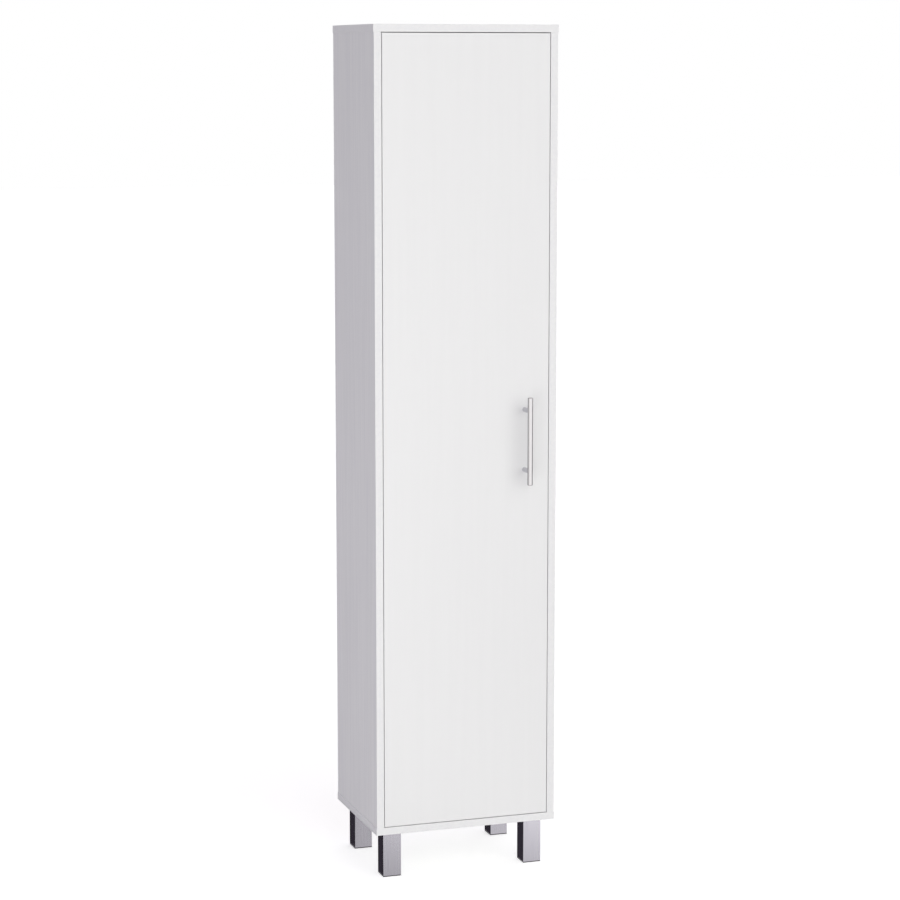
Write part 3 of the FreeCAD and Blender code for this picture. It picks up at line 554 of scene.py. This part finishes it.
def hang_lamp(name, kind, place, target, power, tint, mirrored, **settings):
    """A lamp that shines from its place to its target; for a SUN only the direction counts."""
    data = bpy.data.lights.new(name, kind)
    data.energy = power
    data.color = colour(tint)[:3]
    for setting, value in settings.items():
        setattr(data, setting, value)
    lamp = bpy.data.objects.new(name, data)
    lamp.location = place
    lamp.rotation_mode = "QUATERNION"
    lamp.rotation_quaternion = (place - target).to_track_quat("Z", "Y")
    lamp.visible_glossy = mirrored
    bpy.context.scene.collection.objects.link(lamp)


hang_lamp("key_softbox", "SUN", place=Vector((0.23, -1.0, 0.12)), target=FOOT_OF_CUPBOARD,
          power=2.05, tint="#fcfff5", mirrored=False, angle=math.radians(76))
hang_lamp("back_softbox", "SUN", place=Vector((0.6, 0.75, 0.6)), target=FOOT_OF_CUPBOARD,
          power=0.45, tint="#ffffff", mirrored=True, angle=math.radians(60))
hang_lamp("low_fill_softbox", "AREA", place=Vector((-1.55, -2.2, 0.35)),
          target=SIDE_OF_CUPBOARD, power=12.8, tint="#ffffff", mirrored=False,
          shape="RECTANGLE", size=1.4, size_y=0.6)

# %% [markdown]
# ## Cards that paint reflections in the metal
#
# A polished leg in an all white room would be white on every side, and its square shape
# would be lost. Photographers put card where one side of the metal mirrors it. Here two
# dark cards, folded to an L, stand low on the left of each row of legs and paint dark
# reflections in their left faces, and a pale one lies in front of them: a painted reflection
# of the floor, darker to the left and close to the legs, as painted shade. A dark card
# stands beside the handle and paints a dark reflection down the bar, and a bright face far
# in front of it paints the long highlight down the bar.
#
# Only mirror reflections see the cards, so they take no light from the boards and the
# camera doesn't see them; what they give off is painted reflection in the metal alone. Those
# that belong to a leg or to the handle find it by its name.

# %% What the cards give off
# The dark cards glow dimly; they are no lamp, only painted dark reflection in the metal
PAINTED_DARK_REFLECTION = "#38343c"
# The bright face glows this strongly; it is no lamp, only a painted highlight in the metal
PAINTED_HIGHLIGHT_LEVEL = 1.88

# The pale card is a painted reflection of the floor in the legs, with painted shade at its
# left end: its left and right end, and how bright it is there
GRADED_LEFT, LEFT_LEVEL = -0.26, 0.635
GRADED_RIGHT, RIGHT_LEVEL = 0.42, 1.10
# It also brightens towards the camera, between these two places; the dimmer end close to
# the legs is painted shade of the floor beside them
FAR_FROM_LEGS, FAR_LEVEL = -0.85, 1.55
CLOSE_TO_LEGS, CLOSE_LEVEL = -0.10, 0.98


def painted_dark_reflection_card(tree):
    return add(tree, "ShaderNodeEmission", {"Color": colour(PAINTED_DARK_REFLECTION)})


def painted_highlight_card(tree):
    return add(tree, "ShaderNodeEmission", {"Color": WHITE, "Strength": PAINTED_HIGHLIGHT_LEVEL})


# The pale card's glow: a painted reflection of the floor, dimmer to the left and close to the
# legs as painted shade
def painted_floor_shade_card(tree):
    place = add(tree, "ShaderNodeTexCoord").outputs["Object"]
    spot = add(tree, "ShaderNodeSeparateXYZ", {"Vector": place}).outputs
    across = add(tree, "ShaderNodeMapRange", {"Value": spot["X"], "From Min": GRADED_LEFT,
                                              "From Max": GRADED_RIGHT, "To Min": LEFT_LEVEL,
                                              "To Max": RIGHT_LEVEL})
    along = add(tree, "ShaderNodeMapRange", {"Value": spot["Y"], "From Min": FAR_FROM_LEGS,
                                             "From Max": CLOSE_TO_LEGS, "To Min": FAR_LEVEL,
                                             "To Max": CLOSE_LEVEL})
    level = add(tree, "ShaderNodeMath", {0: across, 1: along}, operation="MULTIPLY")
    return add(tree, "ShaderNodeEmission", {"Color": WHITE, "Strength": level})


dark = material("card_painted_dark_reflection", painted_dark_reflection_card)
bright = material("card_painted_highlight", painted_highlight_card)
painted_floor_shade = material("card_painted_floor_shade", painted_floor_shade_card)
print("card materials:", dark.name, bright.name, painted_floor_shade.name)

# %% A card that only mirrors see
def stand_card(name, gives_off, corner, one_edge, other_edge):
    """A card from one corner along two edges, that nothing but mirror reflections sees."""
    corner, one_edge, other_edge = Vector(corner), Vector(one_edge), Vector(other_edge)
    corners = [corner, corner + one_edge, corner + one_edge + other_edge, corner + other_edge]
    mesh = bpy.data.meshes.new(name)
    mesh.from_pydata(corners, [], [(0, 1, 2, 3)])
    mesh.materials.append(gives_off)
    card = bpy.data.objects.new(name, mesh)
    card.visible_camera = False
    card.visible_diffuse = False
    card.visible_transmission = False
    card.visible_volume_scatter = False
    card.visible_shadow = False
    bpy.context.scene.collection.objects.link(card)


print("cards are hidden from the camera, from the boards and from shadow")

# %% The cards in their places
LEG_CARD_GAP, LEG_CARD_WIDTH, LEG_CARD_LENGTH = 0.026, 0.025, 0.606
HANDLE_CARD_GAP, HANDLE_CARD_DEPTH, HANDLE_CARD_DROP = 0.315, 0.50, 0.12
GRADED_FRONT, GRADED_BACK = -1.0, 0.109
# The cards on the floor just clear it, the dark ones above the graded one
DARK_LIFT, GRADED_LIFT = 1.5 * MM, 1.0 * MM
BRIGHT_FACE_LEFT, BRIGHT_FACE_FRONT = -14.0, -3.0
BRIGHT_FACE_WIDTH, BRIGHT_FACE_HEIGHT = 22.0, 4.0

carcass_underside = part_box("bottom_panel")[0].z
for side in ("left", "right"):
    leg_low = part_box(f"leg_front_{side}")[0]
    fold = (leg_low.x - LEG_CARD_GAP, leg_low.y, DARK_LIFT)
    backward = (0, LEG_CARD_LENGTH, 0)
    stand_card(f"card_{side}_lying", dark, fold, (LEG_CARD_WIDTH, 0, 0), backward)
    stand_card(f"card_{side}_upright", dark, fold, (0, 0, carcass_underside - 2 * DARK_LIFT),
               backward)

bar_low, bar_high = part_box("handle_bar")
stand_card("card_beside_handle", dark,
           (bar_high.x + HANDLE_CARD_GAP, bar_high.y, bar_low.z - HANDLE_CARD_DROP),
           (0, HANDLE_CARD_DEPTH, 0), (0, 0, bar_high.z - bar_low.z + HANDLE_CARD_DROP))
stand_card("card_graded_lying", painted_floor_shade, (GRADED_LEFT, GRADED_FRONT, GRADED_LIFT),
           (GRADED_RIGHT - GRADED_LEFT, 0, 0), (0, GRADED_BACK - GRADED_FRONT, 0))
stand_card("card_bright_face", bright, (BRIGHT_FACE_LEFT, BRIGHT_FACE_FRONT, 0),
           (BRIGHT_FACE_WIDTH, 0, 0), (0, 0, BRIGHT_FACE_HEIGHT))

# %% [markdown]
# ## Camera
#
# Tall furniture is taken from well back with a long lens, so that its uprights stay nearly
# parallel. This one stands at eye height, over five metres away and to the left of the
# cupboard, and looks slightly down, so the verticals draw together a little to the feet.

# %% Camera, well back and to the left
CAMERA_AT = Vector((-1.7579, -5.2560, 1.7273))
TURN = math.radians(18.558)
TILT = math.radians(-8.493)
LENS_MM = 104.45

camera_data = bpy.data.cameras.new("camera")
camera_data.lens = LENS_MM
camera = bpy.data.objects.new("camera", camera_data)
camera.location = CAMERA_AT
camera.rotation_euler = (math.pi / 2 + TILT, 0, -TURN)
bpy.context.scene.collection.objects.link(camera)
bpy.context.scene.camera = camera
bpy.context.scene.view_settings.view_transform = "Standard"
print("camera", [round(c, 2) for c in camera.location], "lens", LENS_MM)
